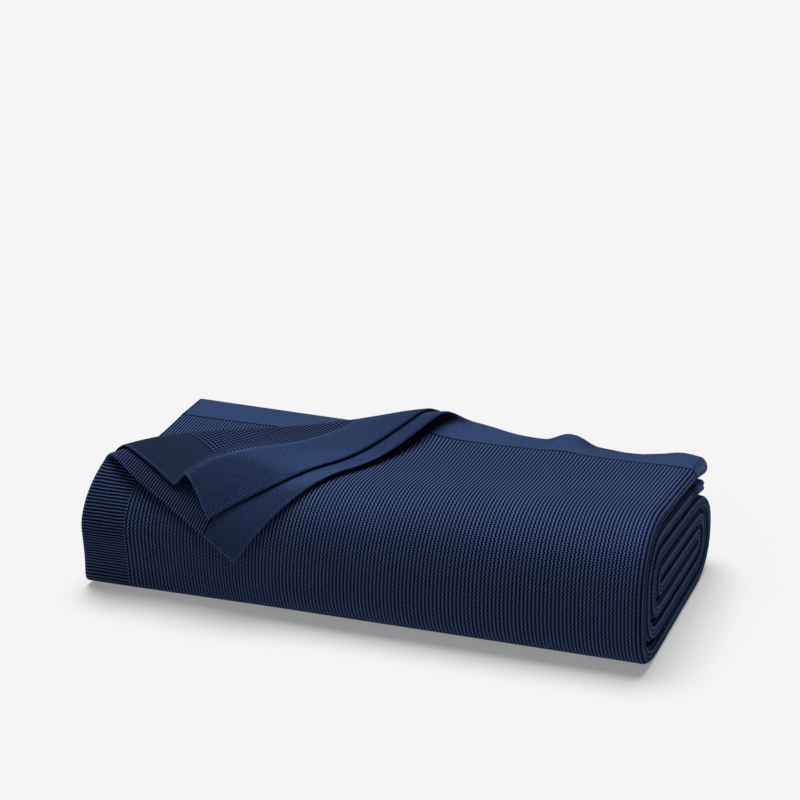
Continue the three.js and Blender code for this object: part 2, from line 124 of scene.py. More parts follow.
# Cuts of the mesh
RUN_POINTS, TURN_POINTS = 41, 97  # of the fold path
OUTER_CUTS, INNER_CUTS = 8, 5  # around a layer's turn
STATION_CLEAR = 0.4  # no station lies closer to a layer's end
BEND_CUT, BEND_LEAST = 7, 8  # spacing and least number of rows in a fold of the strips
FLAT_CUT, FLAT_LEAST = 14, 2  # and between two folds
ROWS_APART = 3  # from the fine rows to the next
END_CLEAR, HEM_CLEAR = 0.25, 0.75  # from a row to a piece's edge, and to its hem
UNDER_FLAP, UNDER_LENGTH = 98.0, 235.0  # how far the third layer shows behind the flaps, across and along
MARGIN = 8.0
NEAR = 0.5  # half the distance over which a slope is taken
MERGE = 1e6  # points are one where they agree to a micrometre

# Looks. A tone, a stroke or another pair of a factor and a base turns a pattern from 0 to 1 into a tone or a
# height. A reach, a shade or a facing is where a soft step starts and ends.
PANEL_DARK, PANEL_LIGHT = (0.0012, 0.0026, 0.008, 1), (0.050, 0.088, 0.205, 1)
BAND_DARK, BAND_LIGHT = (0.004, 0.009, 0.028, 1), (0.027, 0.051, 0.122, 1)
FUZZ_SCALE, YARN_SCALE, SPECK_SCALE, UNEVEN_SCALE, CLOUD_SCALE = 2600.0, 700.0, 950.0, 130.0, 18.0
BAND_WALE, BAND_LOOP, BAND_SWAY = 1.25, 1.1, 0.35  # a band's wales and stitches, and how far these slant
BAND_SHARES = (0.3, 0.2, 0.5)  # of wales, stitches and specks in a band's height
STROKE = (0.6, 0.5)  # of a moss ridge across its wales
UNEVEN = 0.9  # how far a rib wanders
RIB_STITCH, RIB_STROKE, RIB_BASE = 1.3, (0.18, 0.44), 0.12
FLAT_RIB = (0.2, 0.37)  # the smoother ribs of the throw's second end
NET, NET_DEPTH, NET_POWER = 0.68, 0.8, 0.5  # of the upper flap's layer
STRETCH, STRETCH_RAMP = (0.4, 0.28), 1.5  # of the stitches around the right end's turns
FUZZ_DEPTH, FUZZ_BUMP = 0.3, 0.35
PANEL_SHADE, BAND_SHADE = (0.28, 0.85), (0.25, 0.75)  # heights at which the colour is dark and light: painted shade in the knit's low places
CLOUD_TONE, YARN_TONE = (0.22, 0.89), (0.3, 0.85)
PANEL_FACING, PANEL_PAINTED_LIGHT = (0.3, 0.95), (0.55, 0.95)  # upward share of the normal, and the tone of its painted light
# The same for the band: faces that look up are painted lighter
BAND_FACING, BAND_PAINTED_LIGHT = (0.86, 1.0), (0.7, 0.75)
# Painted shade: the seam is painted dark, as shade in its groove
SEAM_REACH, SEAM_SHADE_TONE = (0.2, 1.1), (0.75, 0.25)
# Painted highlight along the seam on the last layer
RIM_REACH, RIM_HIGHLIGHT_TONE = (3.5, 0.5), (0.4, 1.0)
CREST, CREST_REACH, CREST_HIGHLIGHT_TONE = 9.0, (4.0, 1.0), (0.45, 1.0)  # so far beyond the fold line, where the crest gets a painted highlight
HOLLOW_NEAR, HOLLOW_FAR, HOLLOW_SHADE_TONE = (2, 12), (75, 30), (-0.25, 1.0)  # beyond the crest, where the flaps get painted shade
# Painted highlights along the free edge and the throw's two ends
EDGE_REACH, EDGE_HIGHLIGHT_TONE = (1.9, 0.9), (0.6, 1.0)
BUMP_STRENGTH, BUMP_DISTANCE = 0.8, 0.0005
KNIT_ROUGHNESS, KNIT_SPECULAR = 0.92, 0.05
SHEEN, SHEEN_ROUGHNESS, SHEEN_TINT = (0.6, 0.05), 0.3, (0.28, 0.45, 1.0, 1)
FLOOR_REACH, FLOOR_COLOUR, FLOOR_ROUGHNESS, FLOOR_GLOW = 12.0, (0.44, 0.44, 0.44, 1), 0.9, 0.26  # in metres
WORLD_STRENGTH = 0.05


def smooth(t):
    t = np.clip(t, 0, 1)
    return t * t * (3 - 2 * t)


def hump(x, at, before, after):
    away = np.clip(np.abs(x - at) / np.where(x < at, before, after), 0, 1)
    return (1 - away**2) ** 2


def summed(steps):
    return np.concatenate([[0], np.cumsum(steps)])


# The middle line of the folded strips: strip, end, next strip, upper and lower roundness
FOLDS = (
    (1, "front", 8, 2.2, 3.2),
    (8, "back", 3, 2.4, 2.4),
    (3, "front", 6, 2.3, 3.4),
    (6, "back", 5, 2.4, 2.4),
    (5, "front", 4, 2.6, 2.8),
    (4, "back", 7, 2.4, 2.4),
    (7, "front", 2, 2.2, 3.2),
)


def strip_height(k):
    return (STRIPS + 0.5 - k) * STRIP


def fold_path():
    """The strips' middle line by its length: place, direction, and where each fold starts and ends."""
    ys, zs, bends = [EDGE_BACK], [strip_height(1)], []

    def run(to_y, z):
        from_y = ys[-1]
        for t in np.linspace(0, 1, RUN_POINTS)[1:]:
            ys.append(from_y + (to_y - from_y) * t)
            zs.append(z)

    for strip, end, to, over, under in FOLDS:
        side, centre_y = (-1, FRONT_Y) if end == "front" else (1, BACK_Y)
        centre_z = (strip_height(strip) + strip_height(to)) / 2
        radius = abs(strip_height(strip) - strip_height(to)) / 2
        run(centre_y, strip_height(strip))
        bends.append(len(ys) - 1)
        for turn in np.linspace(0, math.pi, TURN_POINTS)[1:]:
            angle = turn if strip < to else math.pi - turn
            c, s = math.cos(angle), math.sin(angle)
            power = over if c >= 0 else under
            scale = (abs(c) ** power + abs(s) ** power) ** (-1 / power)
            ys.append(centre_y + side * radius * scale * s)
            zs.append(centre_z + radius * scale * c)
        bends.append(len(ys) - 1)
    run(EDGE_INNER, strip_height(2))
    y, z = np.array(ys), np.array(zs)
    w = summed(np.hypot(np.diff(y), np.diff(z)))
    ty, tz = np.gradient(y, w), np.gradient(z, w)
    length = np.hypot(ty, tz)
    return w, y, z, ty / length, tz / length, [float(w[i]) for i in bends]


PATH_W, PATH_Y, PATH_Z, PATH_TY, PATH_TZ, BENDS = fold_path()
WIDTH = float(PATH_W[-1])
FRONT_END = BENDS[1] + 12.0  # the first fold's end, under the bundle

# The layers of a pack, in order along the throw. A run goes from start to end along the bundle. A turn curls
# about x, towards its side of the bundle, and starts on the outer side of its centre (-1) or the inner one (1).
# q is the depth below the outermost layer, and face the side on which the cloth's right side lies.
OUTER_TURN = 1.5 * PITCH
INNER_TURN = 0.5 * PITCH
RIGHT_X = LENGTH - OUTER_TURN - CLOTH / 2
LEFT_X = INNER_TURN + CLOTH / 2
LAYERS = (
    dict(kind="run", start=0.0, end=RIGHT_X, q=0.0, face=-1),
    dict(kind="turn", x=RIGHT_X, side=1, q=1.5 * PITCH, radius=OUTER_TURN, start=-1, face=1),
    dict(kind="run", start=RIGHT_X, end=LEFT_X, q=3 * PITCH, face=1),
    dict(kind="turn", x=LEFT_X, side=-1, q=2.5 * PITCH, radius=INNER_TURN, start=1, face=1),
    dict(kind="run", start=LEFT_X, end=RIGHT_X, q=2 * PITCH, face=-1),
    dict(kind="turn", x=RIGHT_X, side=1, q=1.5 * PITCH, radius=INNER_TURN, start=1, face=-1),
    dict(kind="run", start=RIGHT_X, end=END_SETBACK, q=PITCH, face=1),
)
LAYER_LENGTHS = [
    abs(part["end"] - part["start"]) if part["kind"] == "run" else math.pi * part["radius"] for part in LAYERS
]
LAYER_STARTS = summed(LAYER_LENGTHS)
LAST_START = float(LAYER_STARTS[6])  # of the last layer, which lies just below the first
THROW_LENGTH = float(LAYER_STARTS[-1])


def turn_profiles():
    """The turned-over corner across its fold line, by arc length, for the first layer and the second."""

    def build(fall):
        u = np.arange(-RISE_LENGTH, ROLL_LENGTH + fall, PROFILE_STEP)
        heading = (
            RISE_ANGLE * smooth((u + RISE_LENGTH) / RISE_LENGTH)
            + (math.pi + FALL_ANGLE - RISE_ANGLE) * np.clip(u / ROLL_LENGTH, 0, 1)
            - FALL_ANGLE * smooth((u - ROLL_LENGTH - FALL_SHARE * fall) / ((1 - FALL_SHARE) * fall))
        )
        middle = (heading[1:] + heading[:-1]) / 2
        along = -RISE_LENGTH + summed(np.cos(middle) * PROFILE_STEP)
        return u, along, summed(np.sin(middle) * PROFILE_STEP), heading

    # The fall is as long as it takes to come down to the rest
    low, high = 5.0, 300.0
    for _ in range(30):
        fall = (low + high) / 2
        if build(fall)[2][-1] > REST:
            low = fall
        else:
            high = fall
    u, along, lift, heading = build((low + high) / 2)
    over_roll = smooth((heading - CLOSER_FROM) / CLOSER_RAMP)
    gap = PITCH - CLOSER * over_roll * (1 - smooth((u - ROLL_LENGTH) / LEVEL_LENGTH))
    along_2 = along + gap * np.sin(heading)
    lift_2 = lift - gap * np.cos(heading) + PITCH
    u_2 = u[0] + summed(np.hypot(np.diff(along_2), np.diff(lift_2)))
    return (u, along, lift, heading, lift), (u_2, along_2, lift_2, heading, lift)


PROFILES = turn_profiles()
TURN_X = math.sin(TURN_ANGLE)
TURN_W = math.cos(TURN_ANGLE)
FLAP_WIDTH = TURN_REACH / TURN_W + 16  # how far the turned corner reaches across the throw


def beyond_line(x, w):
    """How far a place of the cloth lies beyond the fold line."""
    along = TURN_X * w - TURN_W * x
    swell = LINE_SWELL * hump(along, LINE_AT, LINE_HALF, LINE_HALF) + LINE_END * smooth(along / LINE_END_LENGTH)
    return TURN_REACH + swell - (TURN_X * x + TURN_W * w)


def crease_of(x, w):
    """How high the crease in the upper flap's band stands, and how much of the width it takes up."""
    height = CREASE_HEIGHT * np.clip(1 - x / CREASE_LENGTH, 0, 1) ** CREASE_POWER
    across = np.clip((w - BAND) / CREASE_TROUGH, 0, 1)
    before = 1 - np.clip(1 - w / BAND, 0, 1) ** CREASE_SIDE_POWER
    lift = height * np.where(w < BAND, before, 0.5 + 0.5 * np.cos(np.pi * across))
    slack = 1 - np.sqrt(1 - (height / BAND) ** 2)
    slack_behind = 1 - np.sqrt(np.maximum(1 - (height / CREASE_TROUGH) ** 2, CREASE_STEEPEST))
    behind = slack_behind * CREASE_TROUGH * (1 - across)
    return lift, np.where(w < BAND, slack * (BAND - w) + behind, behind)


def wave_of(x, w):
    """How high the free edge stands up at the right."""
    lift = EDGE_LIFT * smooth((x - EDGE_FROM) / EDGE_RAMP)
    for at, before, after, rise in WAVES:
        lift = lift + rise * hump(x, at, before, after)
    return lift * smooth(1 - w / EDGE_DEPTH)


def pulled_in(x, w):
    """Where the second layer's cloth lies before it is turned over: its corner is pulled in."""
    near_end = np.clip(1 - x / PULLED_LENGTH, 0, 1)
    near_side = np.clip(1 - w / PULLED_DEPTH, 0, 1)
    bow = BOW * hump(x, BOW_AT, BOW_BEFORE, BOW_AFTER)
    return x + PULLED_END * near_end * near_side, w + (PULLED_SIDE * near_end - bow) * near_side


def turn_over(x, w, layer, offset):
    """The first layer (0) or the second (1) with its corner turned over: place, lift and the crease's rise."""
    crease = 0.0 * x
    if layer == 1:
        start_w = w
        x, w = pulled_in(x, w)
        crease, taken = crease_of(x, start_w)
        w = w + taken
    wave = wave_of(x, w) if layer == 0 else 0.0 * x
    across = beyond_line(x, w)
    u, along, lift, heading, base = PROFILES[layer]
    flat = across <= u[0]
    h = np.interp(across, u, heading)
    beyond = np.maximum(across - u[-1], 0)
    shift = np.where(flat, 0, np.interp(across, u, along) - beyond - across)
    over = np.maximum(across - ROLL_LENGTH, 0)
    slide, power = LEAN[layer]
    slide = slide * np.clip(over / (TURN_REACH - ROLL_LENGTH), 0, 1) ** power
    turned_x = x - TURN_X * shift
    lower = FLATTER_SHARE * np.clip(1 - turned_x / FLATTER_LENGTH, 0, 1) ** 2
    lean = np.where(flat, 0, offset * np.sin(h))
    up = np.interp(across, u, lift) - np.interp(across, u, base) * lower + offset * np.cos(h)
    return (
        turned_x + TURN_X * lean - TURN_W * slide,
        w - TURN_W * shift + TURN_W * lean + TURN_X * slide,
        np.where(flat, offset, up) + wave,
        np.where(flat, 0, crease * smooth(over / CREASE_START)),
    )


def height_at(x, y):
    """The bundle's height."""
    v = np.clip(y / DEPTH, *HEIGHT_SPAN)

    def across(front, middle, back):
        return front * (1 - v) * (1 - 2 * v) + 4 * middle * v * (1 - v) + back * v * (2 * v - 1)

    left, right = across(*HEIGHTS_LEFT), across(*HEIGHTS_RIGHT)
    return left + (right - left) * smooth(x / LENGTH)


def foot_out(x, a, b):
    """How much further out a place of the front's foot lies where the foot is squarer."""
    inside = (a <= 0) | (b <= 0)
    a, b = np.maximum(a, 1e-6), np.maximum(b, 1e-6)

    def size(power):
        return (a**power + b**power) ** (1 / power)

    return np.where(inside, 1, (size(FOOT_ROUND) / size(FOOT_SQUARE)) ** smooth(1 - x / FOOT_LENGTH))


def unevenly(x, y, z):
    """From the even stack to the bundle's real shape. The floor face stays flat."""
    out = foot_out(x, 1 - y / FRONT_Y, 1 - z / (STACK / 2))
    y = FRONT_Y + (y - FRONT_Y) * out
    z = STACK / 2 + (z - STACK / 2) * out
    v = np.clip(y / DEPTH, 0, DEPTH_LIMIT)
    level = np.clip((z - PITCH / 2 + CLOTH / 2) / STACK, 0, LEVEL_LIMIT)
    left_half = np.clip(1 - x / (SKEW_SHARE * LENGTH), 0, 1) ** 2
    left_end = np.clip(1 - x / (TUCK_SHARE * LENGTH), 0, 1) ** 2
    front = np.clip(1 - 2 * v, 0, 1)
    swell = np.sin(np.pi * np.minimum(level, 1))
    share = np.where(level < 0.5, FOOT_SHARE, 0)
    tuck = share + (1 - share) * swell
    set_back = FOOT_BACK * smooth(1 - x / FOOT_LENGTH) * smooth(1 - level / FOOT_LEVEL)
    back = smooth((y - (DEPTH - DROOP_DEPTH)) / DROOP_DEPTH)
    return np.stack(
        [
            x + SKEW * left_half * v - TUCK * left_end * tuck * front,
            y + (set_back - BULGE * left_end * swell) * front,
            level * height_at(x, y) - DROOP_DROP * back * np.minimum(level, 1) ** 2,
        ],
        -1,
    )


def place(layer, t, w, offset):
    """Points of the cloth: t along one layer, w across the throw, offset towards the cloth's right side."""
    part = LAYERS[layer]
    t, w, offset = np.broadcast_arrays(*(np.asarray(value, float) for value in (t, w, offset)))
    if part["kind"] == "run":
        x = t
        q = part["q"] + part["face"] * offset
    else:
        radius = part["radius"] + part["face"] * offset
        if part["side"] > 0:
            power = 2 + (TURN_POWER - 2) * smooth((w - SQUARE_FROM) / SQUARE_RAMP)
            radius = radius * (np.abs(np.sin(t)) ** power + np.abs(np.cos(t)) ** power) ** (-1 / power)
        if layer == 1:
            groove = GROOVE * np.exp(-(((t - math.pi / 2) / GROOVE_WIDTH) ** 2))
            radius = radius * (1 - groove * smooth((w - GROOVE_FROM) / GROOVE_RAMP))
        x = part["x"] + part["side"] * radius * np.sin(t)
        q = part["q"] + part["start"] * radius * np.cos(t)
    depth = 1.5 * PITCH - q
    if layer == 1:
        depth = depth + wave_of(RIGHT_X, w) * np.cos(t / 2) ** 2  # as high as the first layer's waving edge
    across = w
    rise = None
    if layer in (0, 6):
        up = offset if layer == 0 else -offset
        x, across, lift, rise = turn_over(x, w, 0 if layer == 0 else 1, up)
        depth = 1.5 * PITCH - part["q"] + lift
    beyond = np.maximum(-across, 0)
    y, z, ty, tz = (np.interp(across, PATH_W, values) for values in (PATH_Y, PATH_Z, PATH_TY, PATH_TZ))
    length = np.hypot(ty, tz)
    points = unevenly(x, y + beyond + depth * tz / length, z - depth * ty / length)
    if rise is None:
        return points
    points[..., 2] += rise
    raised = (rise > 0) & (offset != 0)
    if raised.any():
        # On the crease's slopes the cloth's faces follow its own surface
        t, w, offset = t[raised], w[raised], offset[raised]
        along_x = place(layer, t + NEAR, w, 0.0) - place(layer, t - NEAR, w, 0.0)
        along_w = place(layer, t, w + NEAR, 0.0) - place(layer, t, w - NEAR, 0.0)
        normal = np.cross(along_x, along_w)
        normal /= np.linalg.norm(normal, axis=-1, keepdims=True)
        middle = place(layer, t, w, 0.0) + offset[..., None] * normal
        share = np.minimum(rise[raised] / CREASE_FULL, 1)[..., None]
        points[raised] += (middle - points[raised]) * share
    return points


# The mesh of a piece of cloth. It has two faces, each a set of rows of stations, and rows and stations lie
# closer together where the cloth shows.
STEP = RIDGE / 2
COARSE, MEDIUM, HALF, FINE = 0, 1, 2, 3
SPACING = {COARSE: 24, MEDIUM: 4, HALF: 2, FINE: 1}  # in steps


def stations():
    """Every place along the throw where the cloth may be cut: place, layer, place in it, and its level."""
    found = {}
    for layer, part in enumerate(LAYERS):
        start, length = LAYER_STARTS[layer], LAYER_LENGTHS[layer]

        def add(s, level):
            t = s - start
            if part["kind"] == "run":
                at = part["start"] + t if part["end"] > part["start"] else part["start"] - t
            else:
                at = t / part["radius"]
            key = round(s, 3)
            if key not in found or found[key][3] > level:
                found[key] = (s, layer, at, level)

        for s in (start, start + length) if layer == 0 else (start + length,):
            add(s, COARSE)
        if part["kind"] == "turn":
            count = OUTER_CUTS if part["radius"] == OUTER_TURN else INNER_CUTS
            for i in range(1, count):
                add(start + length * i / count, COARSE)
        first = math.ceil((start + STATION_CLEAR) / STEP)
        last = math.floor((start + length - STATION_CLEAR) / STEP)
        for k in range(first, last + 1):
            level = next(level for level, spacing in SPACING.items() if k % spacing == 0)
            add(k * STEP, max(level, HALF) if part["kind"] == "turn" else level)
    for s in (HEM, THROW_LENGTH - HEM):
        found[round(s, 3)] = (s, 0 if s < LENGTH else 6, s if s < LENGTH else END_SETBACK + HEM, COARSE)
    return sorted(found.values())


ALL_STATIONS = stations()
S, LAYER, AT, LEVEL = (np.array([row[i] for row in ALL_STATIONS]) for i in range(4))
BORDER = (S < BORDER_WIDTH) | (S > THROW_LENGTH - BORDER_WIDTH)

# Blocks of layers that have rows of their own, and how far across the throw these lie close together, on the
# cloth's right side and on its wrong side
BLOCKS = ((0, 1), (2, 3), (4, 5), (6,))
FINE_TO = ((FRONT_END, FLAP_WIDTH), (0.0, 0.0), (UNDER_FLAP, 0.0), (FLAP_WIDTH, FLAP_WIDTH))


def evenly(start, end, apart, least):
    """Places from one to another, about as far apart as asked."""
    count = max(least, round((end - start) / apart))
    return [start + (end - start) * k / count for k in range(count + 1)]


def row_places(block, side, from_w, to_w):
    """Where a face of a block is cut across the throw."""
    places = [from_w, to_w]
    for start, end in zip(BENDS[::2], BENDS[1::2]):
        places += evenly(start, end, BEND_CUT, BEND_LEAST)
    stops = [0.0, *BENDS, WIDTH]
    for start, end in zip(stops[::2], stops[1::2]):
        places += evenly(start, end, FLAT_CUT, FLAT_LEAST)
    fine = [k * WALE for k in range(math.ceil(FINE_TO[block][side < 0] / WALE))]
    if block == 3 and side < 0:
        fine = fine[::2]
    if to_w <= BAND:
        fine = fine[::2]
    fine_end = fine[-1] if fine else -1.0
    places = [w for w in places if w > fine_end + ROWS_APART] + fine + [from_w, to_w]
    hems = ([HEM] if from_w == 0 else []) + ([WIDTH - HEM] if to_w == WIDTH else [])
    kept = []
    for w in sorted(set([w for w in places if from_w <= w <= to_w] + hems)):
        inside = w not in (from_w, to_w)
        near_end = inside and min(w - from_w, to_w - w) < END_CLEAR
        near_hem = inside and w not in hems and any(abs(w - hem) < HEM_CLEAR for hem in hems)
        if not near_end and not near_hem:
            kept.append(w)
    return kept


def wanted_level(w, side, banded):
    """The level of detail of each station of a row."""
    level = np.full(len(S), COARSE)
    fold_1 = beyond_line(AT, w)
    first, turned = LAYER == 0, fold_1 > -RISE_LENGTH - MARGIN
    if side > 0:
        if w < FRONT_END:
            level[first] = MEDIUM if banded else FINE
            level[first & (fold_1 > -RISE_LENGTH)] = HALF
            level[first & (fold_1 > ROLL_LENGTH + MARGIN)] = MEDIUM
            level[first & BORDER & (fold_1 < -RISE_LENGTH)] = MEDIUM
            level[LAYER == 1] = FINE
        else:
            level[LAYER == 1] = HALF
        if w < UNDER_FLAP:
            level[(LAYER == 4) & (AT < UNDER_LENGTH)] = MEDIUM if banded else FINE
            level[(LAYER == 4) & (AT < BAND)] = MEDIUM
        level[(LAYER == 6) & turned] = HALF if banded else FINE
    else:
        level[(first | (LAYER == 6)) & turned] = HALF
    return level


def swing_of(w):
    """A zigzag across the wales, from -1 to 1."""
    return 1 - 2 * abs((w / WALE) % 2 - round((w / WALE) % 2 / 2) * 2)


def relief(s, w, ridged):
    """How far the panel's face stands from the cloth's middle: ridges in the moss, even elsewhere."""
    phase = (s - ZIGZAG * swing_of(w)) / RIDGE
    moss = 0.5 + 0.5 * np.cos(2 * np.pi * phase)
    return np.where(ridged, CLOTH / 2 - RELIEF * (1 - moss), CLOTH / 2 - 0.5 * RELIEF)


def drift_of(x, w):
    """The knit does not lie square to the bundle: its ridges run down the front a little to the left."""
    middle = smooth((x - DRIFT_X) / DRIFT_LEFT) * smooth((RIGHT_X - x) / DRIFT_RIGHT)
    return -DRIFT * middle * smooth((w - DRIFT_W) / DRIFT_DOWN)


def over_fold(layer, x, w):
    """How far a place lies beyond the fold line, for the two layers that are turned over there."""
    first, second = beyond_line(x, w), beyond_line(*pulled_in(x, w))
    return np.where(layer == 0, first, np.where(layer == 6, second, -50.0))


def stitched(first, second, flip):
    """Faces between two rows of (key, vertex) that need not match one to one."""
    faces = []
    place_of = {key: j for j, (key, _) in enumerate(second)}
    i = j = 0
    last_i, last_j = len(first) - 1, len(second) - 1
    while i < last_i or j < last_j:
        next_i = i + 1
        while next_i <= last_i and first[next_i][0] not in place_of:
            next_i += 1
        next_j = place_of[first[next_i][0]] if next_i <= last_i else last_j
        end_i = min(next_i, last_i)
        if end_i - i == 1 and next_j - j == 1:
            faces.append((first[i][1], second[j][1], second[next_j][1], first[end_i][1]))
            i, j = end_i, next_j
            continue
        start_i, start_j = i, j
        while i < end_i or j < next_j:
            share_i = 2 if i >= end_i else (i + 1 - start_i) / max(end_i - start_i, 1)
            share_j = 2 if j >= next_j else (j + 1 - start_j) / max(next_j - start_j, 1)
            if share_i <= share_j:
                faces.append((first[i][1], second[j][1], first[i + 1][1]))
                i += 1
            else:
                faces.append((first[i][1], second[j][1], second[j + 1][1]))
                j += 1
    return [face[::-1] for face in faces] if flip else faces


def cloth_row(w, side, number, chosen, wanted, from_w, to_w):
    """Points and cloth coordinates of one row of a block's face."""
    banded = to_w - from_w <= BAND
    s, layers, at = S[chosen], LAYER[chosen], AT[chosen]
    shows = wanted[chosen] == FINE
    if banded:
        depth = np.full(len(chosen), CLOTH / 2 - BAND_INSET)
    else:
        depth = relief(s, w, shows & ~BORDER[chosen])
    hem = np.minimum(s, THROW_LENGTH - s)
    if from_w == 0:
        hem = np.minimum(hem, w)
    if to_w == WIDTH:
        hem = np.minimum(hem, WIDTH - w)
    depth = depth * np.sqrt(np.clip(HEM_THIN + (1 - HEM_THIN) * hem / HEM, 0, 1))
    moved = np.where(shows & ~BORDER[chosen], ZIGZAG * swing_of(w), 0.0)
    drift = np.where(shows & (layers == 0), drift_of(at, w), 0.0) if side > 0 else np.zeros(len(chosen))
    points = np.zeros((len(chosen), 3))
    for layer in BLOCKS[number] if number == 0 else (BLOCKS[number - 1][-1], *BLOCKS[number]):
        here = layers == layer
        if not here.any():
            continue
        part = LAYERS[layer]
        t = at[here]
        if part["kind"] == "run":
            t = t + moved[here] * (1 if part["end"] > part["start"] else -1) + drift[here]
        points[here] = place(layer, t, w, side * depth[here])
    return points, np.stack([s + moved, np.full(len(chosen), w), over_fold(layers, at, w)], -1)


def cloth(name, from_w, to_w):
    """One piece of cloth between two places across the throw."""
    points, coords, faces = [], [], []
    edge_rows = {1: [], -1: []}
    total = 0
    columns = {}
    for side in (1, -1):
        for number, block in enumerate(BLOCKS):
            inside = np.isin(LAYER, block)
            if number > 0:
                inside[np.nonzero(inside)[0][0] - 1] = True  # the block before ends where this one starts
            built = []
            for w in row_places(number, side, from_w, to_w):
                wanted = wanted_level(w, side, to_w - from_w <= BAND)
                chosen = np.nonzero(inside & (LEVEL <= wanted))[0]
                row_points, row_coords = cloth_row(w, side, number, chosen, wanted, from_w, to_w)
                points.append(row_points)
                coords.append(row_coords)
                built.append((w, [(int(k), total + i) for i, k in enumerate(chosen)]))
                total += len(chosen)
            for (_, first), (_, second) in zip(built, built[1:]):
                faces += stitched(first, second, side < 0)
            columns[side, number, "start"] = [(round(w, 3), row[0][1]) for w, row in built]
            columns[side, number, "end"] = [(round(w, 3), row[-1][1]) for w, row in built]
            edge_rows[side].append((built[0][1], built[-1][1]))
    # The seams between blocks, the long edges, and the two ends
    for side in (1, -1):
        for number in range(1, len(BLOCKS)):
            faces += stitched(columns[side, number - 1, "end"], columns[side, number, "start"], side > 0)
    for under, over in zip(edge_rows[-1], edge_rows[1]):
        faces += stitched(under[0], over[0], False) + stitched(under[1], over[1], True)
    last = len(BLOCKS) - 1
    faces += stitched(columns[-1, 0, "start"], columns[1, 0, "start"], True)
    faces += stitched(columns[-1, last, "end"], columns[1, last, "end"], False)
    return make_mesh(name, np.concatenate(points), np.concatenate(coords), faces)


def make_mesh(name, points, coords, faces):
    """A smooth mesh in metres. One UV map holds the cloth's own coordinates, along and across, in metres, and
    one holds how far the place lies beyond the fold line."""
    points = (points - np.array([*MIDDLE, 0])) / 1000
    rounded = np.round(points * MERGE).astype(np.int64)
    _, first, merged = np.unique(rounded, axis=0, return_index=True, return_inverse=True)
    merged = merged.ravel()
    clean, corners = [], []
    for face in faces:
        ids = [merged[k] for k in face]
        keep = [k for k in range(len(ids)) if ids[k] != ids[k - 1]]
        if len(keep) >= 3 and len({ids[k] for k in keep}) == len(keep):
            clean.append([int(ids[k]) for k in keep])
            corners += [face[k] for k in keep]
    mesh = bpy.data.meshes.new(name)
    mesh.from_pydata(points[first].tolist(), [], clean)
    at_corners = (coords[np.array(corners)] / 1000).astype(np.float32)
    for map_name, columns in (("cloth", [0, 1]), ("fold", [2, 2])):
        uv = mesh.uv_layers.new(name=map_name)
        uv.data.foreach_set("uv", at_corners[:, columns].ravel())
    mesh.shade_smooth()
    mesh.update()
    piece = bpy.data.objects.new(name, mesh)
    bpy.context.scene.collection.objects.link(piece)
    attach(piece, "root")
    return piece


# Materials
class Nodes:
    """A short way to write a node tree of maths."""

    def __init__(self, tree):
        self.tree = tree

    def new(self, kind, **settings):
        node = self.tree.nodes.new(kind)
        for key, value in settings.items():
            setattr(node, key, value)
        return node

    def link(self, value, socket):
        if isinstance(value, bpy.types.NodeSocket):
            self.tree.links.new(value, socket)
        else:
            socket.default_value = value

    def fill(self, node, settings):
        for key, value in settings.items():
            self.link(value, node.inputs[key])
        return node

    def math(self, operation, a, b=0.0, c=0.0):
        return self.fill(self.new("ShaderNodeMath", operation=operation), {0: a, 1: b, 2: c}).outputs[0]

    def times(self, a, b):
        return self.math("MULTIPLY", a, b)

    def scaled(self, value, factor, base):
        return self.math("MULTIPLY_ADD", value, factor, base)

    def away(self, value, line):
        return self.math("ABSOLUTE", self.math("SUBTRACT", value, line))

    def mix(self, factor, a, b):
        node = self.new("ShaderNodeMix", data_type="FLOAT", clamp_factor=True)
        return self.fill(node, {0: factor, 2: a, 3: b}).outputs[0]

    def colour(self, factor, a, b, blend="MIX"):
        node = self.new("ShaderNodeMix", data_type="RGBA", blend_type=blend)
        return self.fill(node, {0: factor, 6: a, 7: b}).outputs[2]

    def noise(self, vector, scale, detail=2.0, roughness=0.5):
        settings = {"Vector": vector, "Scale": scale, "Detail": detail, "Roughness": roughness}
        return self.fill(self.new("ShaderNodeTexNoise"), settings).outputs["Fac"]

    def ramp(self, value, start, end):
        """A soft step from 0 to 1 between two values."""
        node = self.new("ShaderNodeMapRange", interpolation_type="SMOOTHSTEP", clamp=True)
        return self.fill(node, dict(enumerate((value, start, end, 0.0, 1.0)))).outputs[0]

    def wave(self, value, period, shift=0.0):
        """A cosine from 0 to 1, with its crests at multiples of the period."""
        turns = self.scaled(value, 2 * math.pi / period, shift * 2 * math.pi)
        return self.scaled(self.math("COSINE", turns), 0.5, 0.5)

    def split(self, vector):
        return self.fill(self.new("ShaderNodeSeparateXYZ"), {0: vector}).outputs

    def uv(self, name):
        """The two values of a UV map, in millimetres."""
        values = self.split(self.new("ShaderNodeUVMap", uv_map=name).outputs[0])
        return self.times(values[0], 1000.0), self.times(values[1], 1000.0)


def band_height(n, s, w, position):
    """Fine wales along the band, each a row of small stitches, blurred by fuzz."""
    wale = n.wave(w, BAND_WALE)
    loop = n.wave(n.math("ADD", s, n.times(wale, BAND_SWAY)), BAND_LOOP)
    speck = n.noise(position, SPECK_SCALE, roughness=0.6)
    of_wale, of_loop, of_speck = BAND_SHARES
    return n.scaled(wale, of_wale, n.scaled(loop, of_loop, n.times(speck, of_speck)))


